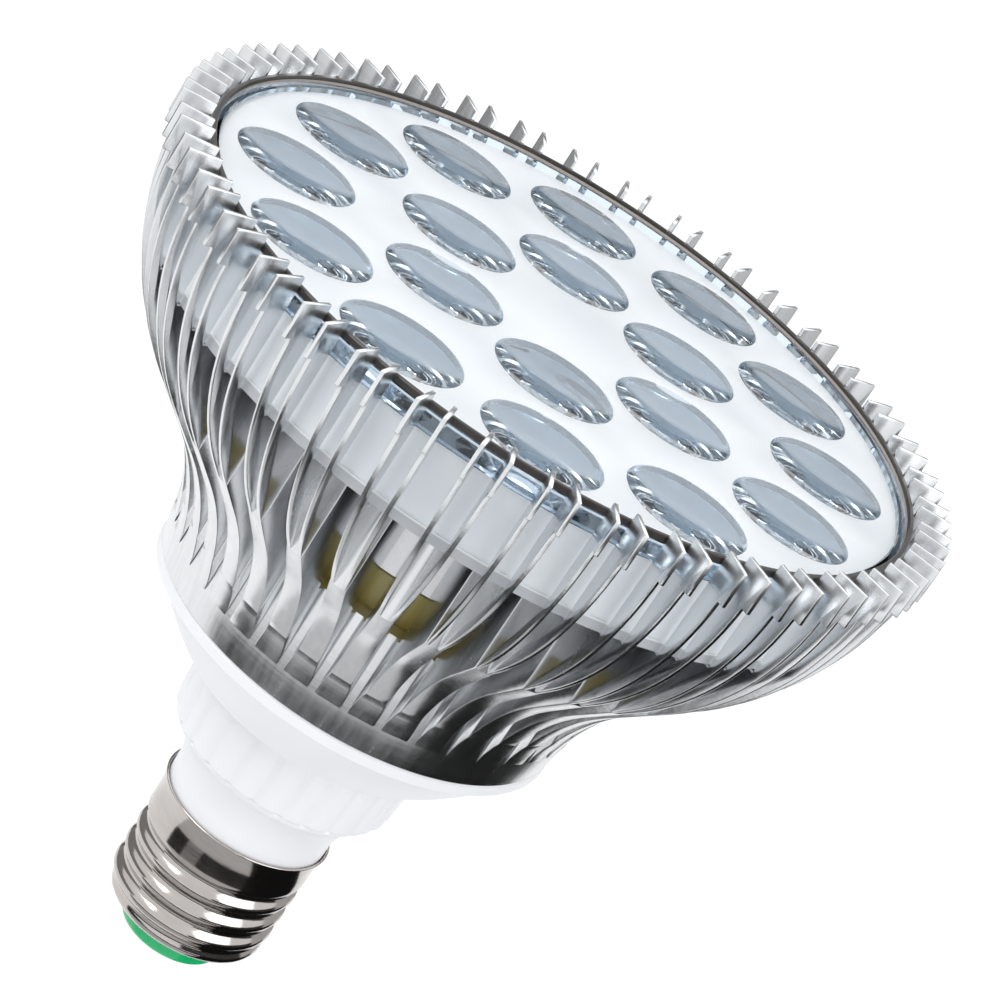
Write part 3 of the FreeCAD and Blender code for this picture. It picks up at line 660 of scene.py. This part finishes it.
def make_turned_pieces(finishes):
    """Round pieces that show through the fins or at the two ends."""
    soft = 0.15 * MM
    ring_in = 54.9 * MM
    lip_height = 0.42 * MM
    hoop = [(ring_in, ring_low.z), (ring_high.x, ring_low.z), (ring_high.x, ring_high.z - soft),
            (ring_high.x - soft, ring_high.z), (ring_in + soft, ring_high.z),
            (ring_in, ring_high.z - soft), (ring_in, ring_low.z + lip_height)]
    ring = turned_piece("dark_retaining_ring", hoop, finishes["retaining_ring"], "retaining_ring",
                        RIM_STEPS, "retaining_ring")
    ring.data.materials.append(finishes["ring_lip"])
    for face in ring.data.polygons:
        if distance_out(face.center) < ring_in and face.center.z < ring_low.z + lip_height:
            face.material_index = 1

    slug_chamfer = 0.5 * MM
    disc = [(0, slug_low.z), (BORE_RADIUS - slug_chamfer, slug_low.z),
            (BORE_RADIUS, slug_low.z + slug_chamfer), (BORE_RADIUS, slug_high.z), (0, slug_high.z)]
    turned_piece("slug_disc", disc, finishes["thermal_slug"], "thermal_slug", 160, "thermal_slug")

    cup_radius = cup_high.x
    wall = 0.4 * MM
    outer_round = 0.8 * MM
    inner_round = 0.9 * MM
    cup = [(cup_radius - wall, cup_low.z), (cup_radius, cup_low.z), (cup_radius, cup_high.z - outer_round),
           (cup_radius - outer_round, cup_high.z), (0, cup_high.z), (0, cup_high.z - wall),
           (cup_radius - inner_round, cup_high.z - wall), (cup_radius - wall, cup_high.z - inner_round)]
    turned_piece("amber_cup", cup, finishes["insulating_cup"], "insulating_cup", 160, "insulating_cup")

    glass_bore = 1.2 * MM
    glass_foot = (7.5 * MM, 1.5 * MM)
    glass_side = (8.4 * MM, 2.4 * MM)
    glass = [(glass_bore, glass_foot[1]), glass_foot]
    glass += arc_points(glass_foot, glass_side, 0.2, 6)
    glass += [(glass_side[0], glass_high.z), (glass_bore, glass_high.z)]
    turned_piece("glass_insulator", glass, finishes["shell_insulator"], "shell_insulator", 120,
                 "shell_insulator")


# Room: white floor and world for what the camera sees, two soft lamps, and cards that only reflections see

FLOOR_LEVEL = -60 * MM
CARD_LEVEL = -55 * MM


def seen_directly(tree):
    """Light paths that should meet plain white: from the camera, a mirror or through glass."""
    path = tree.nodes.new("ShaderNodeLightPath")
    total = path.outputs["Is Camera Ray"]
    for name in ("Is Glossy Ray", "Is Transmission Ray"):
        node = tree.nodes.new("ShaderNodeMath")
        node.operation = "MAXIMUM"
        tree.links.new(total, node.inputs[0])
        tree.links.new(path.outputs[name], node.inputs[1])
        total = node.outputs[0]
    return total


def make_world():
    world = bpy.data.worlds.new("studio")
    bpy.context.scene.world = world
    world.use_nodes = True
    tree = world.node_tree
    white = tree.nodes["Background"]
    white.inputs["Color"].default_value = (1, 1, 1, 1)
    white.inputs["Strength"].default_value = 1.0
    soft = tree.nodes.new("ShaderNodeBackground")
    soft.inputs["Color"].default_value = (0.95, 0.97, 1.0, 1)
    soft.inputs["Strength"].default_value = 0.62
    blend = tree.nodes.new("ShaderNodeMixShader")
    tree.links.new(seen_directly(tree), blend.inputs[0])
    tree.links.new(soft.outputs[0], blend.inputs[1])
    tree.links.new(white.outputs[0], blend.inputs[2])
    tree.links.new(blend.outputs[0], tree.nodes["World Output"].inputs["Surface"])


def make_floor():
    glow_strength = 1.12
    glow_share = 0.88
    mesh = bmesh.new()
    bmesh.ops.create_grid(mesh, x_segments=2, y_segments=2, size=6.0,
                          matrix=Matrix.Translation(UP * FLOOR_LEVEL))
    floor = add_object("floor", mesh)
    paint = bpy.data.materials.new("floor_paint")
    paint.use_nodes = True
    tree = paint.node_tree
    matt = tree.nodes["Principled BSDF"]
    matt.inputs["Base Color"].default_value = (0.9, 0.9, 0.9, 1)
    matt.inputs["Roughness"].default_value = 0.9
    glow = tree.nodes.new("ShaderNodeEmission")
    glow.inputs["Strength"].default_value = glow_strength
    share = tree.nodes.new("ShaderNodeMath")
    share.operation = "MULTIPLY"
    share.inputs[1].default_value = glow_share
    tree.links.new(seen_directly(tree), share.inputs[0])
    blend = tree.nodes.new("ShaderNodeMixShader")
    tree.links.new(share.outputs[0], blend.inputs[0])
    tree.links.new(matt.outputs[0], blend.inputs[1])
    tree.links.new(glow.outputs[0], blend.inputs[2])
    tree.links.new(blend.outputs[0], tree.nodes["Material Output"].inputs["Surface"])
    floor.data.materials.append(paint)


def make_card(name, facing, start, end, foot, top, shade):
    """Curved card that only reflections see.

    A line between two (radius, level) points, swept from one turn to another about the bulb's axis. Turns
    are in degrees from the side that faces the camera.
    """
    around = Matrix.Rotation(math.radians(start), 3, "Z") @ facing
    mesh = bmesh.new()
    low = mesh.verts.new(around * foot[0] + UP * foot[1])
    high = mesh.verts.new(around * top[0] + UP * top[1])
    line = mesh.edges.new((low, high))
    spin(mesh, [low, high, line], 24, angle=math.radians(end - start))
    card = add_object(name, mesh)
    card.visible_camera = False
    card.visible_diffuse = False
    card.visible_transmission = False
    card.visible_shadow = False
    paint = bpy.data.materials.new(name)
    paint.use_nodes = True
    tree = paint.node_tree
    glow = tree.nodes.new("ShaderNodeEmission")
    glow.inputs["Strength"].default_value = shade
    tree.links.new(glow.outputs[0], tree.nodes["Material Output"].inputs["Surface"])
    card.data.materials.append(paint)


def make_lamp(name, spot, aim, size, power):
    light = bpy.data.lights.new(name, "AREA")
    light.shape = "RECTANGLE"
    light.size = size
    light.size_y = size
    light.energy = power
    lamp = bpy.data.objects.new(name, light)
    bpy.context.scene.collection.objects.link(lamp)
    lamp.location = spot
    lamp.rotation_mode = "QUATERNION"
    lamp.rotation_quaternion = (Vector(aim) - Vector(spot)).to_track_quat("-Z", "Y")


# Camera of the photograph: where the rim's centre falls, how far off it is, and how the bulb leans
VIEW_AZIMUTH = math.radians(21.95)
VIEW_ELEVATION = math.radians(19.448)
VIEW_ROLL = math.radians(33.230)
VIEW_DISTANCE = 466.6 * MM
FOCAL_PIXELS = 3410.0
FRAME_PIXELS = 1000.0
RIM_PIXEL = (572.05, 313.12)
RIM_CENTRE = Vector((0, 0, 118.0 * MM))


def make_camera():
    yaw = Matrix.Rotation(VIEW_AZIMUTH, 3, "Z")
    back = yaw @ Vector((0, -math.cos(VIEW_ELEVATION), math.sin(VIEW_ELEVATION)))
    right = yaw @ Vector((1, 0, 0))
    above = back.cross(right)
    level = Matrix((right, above, back)).transposed()
    leaning = level @ Matrix.Rotation(VIEW_ROLL, 3, "Z")
    middle = FRAME_PIXELS / 2
    seen = Vector(((RIM_PIXEL[0] - middle) / FOCAL_PIXELS, (middle - RIM_PIXEL[1]) / FOCAL_PIXELS, -1.0))
    swing = seen.rotation_difference(Vector((0, 0, -1))).to_matrix()
    data = bpy.data.cameras.new("photo_camera")
    data.sensor_width = 36.0
    data.lens = data.sensor_width * FOCAL_PIXELS / FRAME_PIXELS
    data.clip_start = 0.01
    camera = bpy.data.objects.new("photo_camera", data)
    bpy.context.scene.collection.objects.link(camera)
    camera.matrix_world = Matrix.Translation(RIM_CENTRE + back * VIEW_DISTANCE) @ (leaning @ swing).to_4x4()
    bpy.context.scene.camera = camera
    return right, back


def make_finishes():
    return {
        "heat_sink": fin_aluminium(),
        "screw_shell": nickel(),
        "base_housing": white_plastic(),
        "lens_plate": clear_moulding("clear_lens", 1.0),
        "lens_face": clear_moulding("lens_face", 0.88),
        "shell_insulator": green_glass(),
        "insulating_cup": amber_sheet(),
        "retaining_ring": speckled("dark_ring", (0.012, 0.010, 0.009), (0.035, 0.028, 0.024), 0.25),
        "ring_lip": speckled("ring_lip", (0.42, 0.36, 0.31), (0.56, 0.49, 0.43), 0.3),
        "lens_field": milky_moulding(),
        "thermal_slug": speckled("turned_slug", (0.62, 0.63, 0.65), (0.80, 0.81, 0.83), 0.25, 1.0),
        "thermal_pad": speckled("thermal_pad", (0.42, 0.44, 0.48), (0.52, 0.54, 0.58), 0.6),
        "led_board": board_lacquer(),
        "leds": speckled("phosphor", (0.86, 0.88, 0.80), (0.95, 0.92, 0.70), 0.3),
        "board_screws": speckled("zinc_screws", (0.45, 0.45, 0.47), (0.66, 0.66, 0.68), 0.25, 1.0),
        "centre_contact": speckled("brass_contact", (0.62, 0.47, 0.20), (0.80, 0.64, 0.32), 0.25, 1.0),
        "contact_solder": speckled("tinned_solder", (0.55, 0.55, 0.56), (0.72, 0.72, 0.73), 0.3, 1.0),
        "driver_board": speckled("green_laminate", (0.03, 0.20, 0.08), (0.06, 0.30, 0.13), 0.35),
        "transformer_core": speckled("ferrite", (0.05, 0.05, 0.055), (0.10, 0.10, 0.11), 0.6),
        "transformer_winding": speckled("yellow_tape", (0.75, 0.58, 0.06), (0.90, 0.74, 0.16), 0.35),
        "film_capacitor": speckled("dipped_film", (0.50, 0.09, 0.05), (0.64, 0.14, 0.08), 0.25),
        "bridge_rectifier": speckled("moulded_black", (0.02, 0.02, 0.02), (0.05, 0.05, 0.05), 0.5),
        "fuse_resistor": speckled("lacquered_resistor", (0.25, 0.45, 0.55), (0.35, 0.56, 0.66), 0.35),
        "can_sleeve": speckled("can_sleeve", (0.03, 0.03, 0.06), (0.07, 0.07, 0.11), 0.3),
        "neutral_lead": speckled("white_insulation", (0.72, 0.72, 0.70), (0.84, 0.84, 0.82), 0.4),
    }


def dress_nodes(finishes):
    """Give every solid that stays its own finish."""
    shared = {"input_capacitor": "can_sleeve", "output_capacitor": "can_sleeve",
              "controller_chip": "bridge_rectifier", "drum_inductor": "transformer_core",
              "line_lead": "neutral_lead", "led_leads": "neutral_lead"}
    for name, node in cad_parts.items():
        finish = finishes[shared.get(name, name)]
        node.data.materials.clear()
        node.data.materials.append(finish)


finishes = make_finishes()
dress_nodes(finishes)
make_heat_sink(finishes["heat_sink"])
make_lens_plate(finishes["lens_plate"], finishes["lens_face"], finishes["lens_field"])
make_screw_shell(finishes["screw_shell"])
make_base_housing(finishes["base_housing"])
make_turned_pieces(finishes)
make_world()
make_floor()
right, back = make_camera()
facing = Vector((back.x, back.y, 0)).normalized()
target = Vector((0, 0, 70 * MM))
make_lamp("key", target + back * 0.5 - right * 0.7 + UP * 0.8, target, 0.8, 8.4)
make_lamp("fill", target + back * 0.6 + right * 0.8 + UP * 0.3, target, 0.9, 4.0)

# Rings on the ground: first and last turn in degrees, inner and outer radius in metres, brightness
for start, end, inner, outer, shade in ((-66, 50, 0.02, 0.12, 0.6),
                                        (-66, -40, 0.12, 0.148, 0.03),
                                        (-40, -16, 0.12, 0.148, 0.3),
                                        (-16, 50, 0.12, 0.148, 0.03),
                                        (-66, 50, 0.148, 0.21, 0.01),
                                        (12, 50, 0.31, 0.37, 0.01),
                                        (50, 130, 0.02, 0.37, 0.01),
                                        (145, 215, 0.25, 0.70, 0.08)):
    make_card("ground_card", facing, start, end, (inner, CARD_LEVEL), (outer, CARD_LEVEL), shade)

# Upright cards: first and last turn, foot and top as (radius, level), brightness
for name, start, end, foot, top, shade in (
        ("right_dark", 22, 108, (0.36, CARD_LEVEL), (0.36, 0.07), 0.05),
        ("left_grey", -165, -62, (0.36, CARD_LEVEL), (0.36, 0.10), 0.28),
        ("right_grey", 108, 165, (0.36, CARD_LEVEL), (0.36, 0.10), 0.55),
        ("far_black", 135, 225, (0.50, 0.18), (0.50, 0.31), 0.02),
        ("far_bright", 130, 230, (0.50, 0.33), (0.40, 0.60), 1.5)):
    make_card(name, facing, start, end, foot, top, shade)
bpy.context.scene.view_settings.view_transform = "Standard"
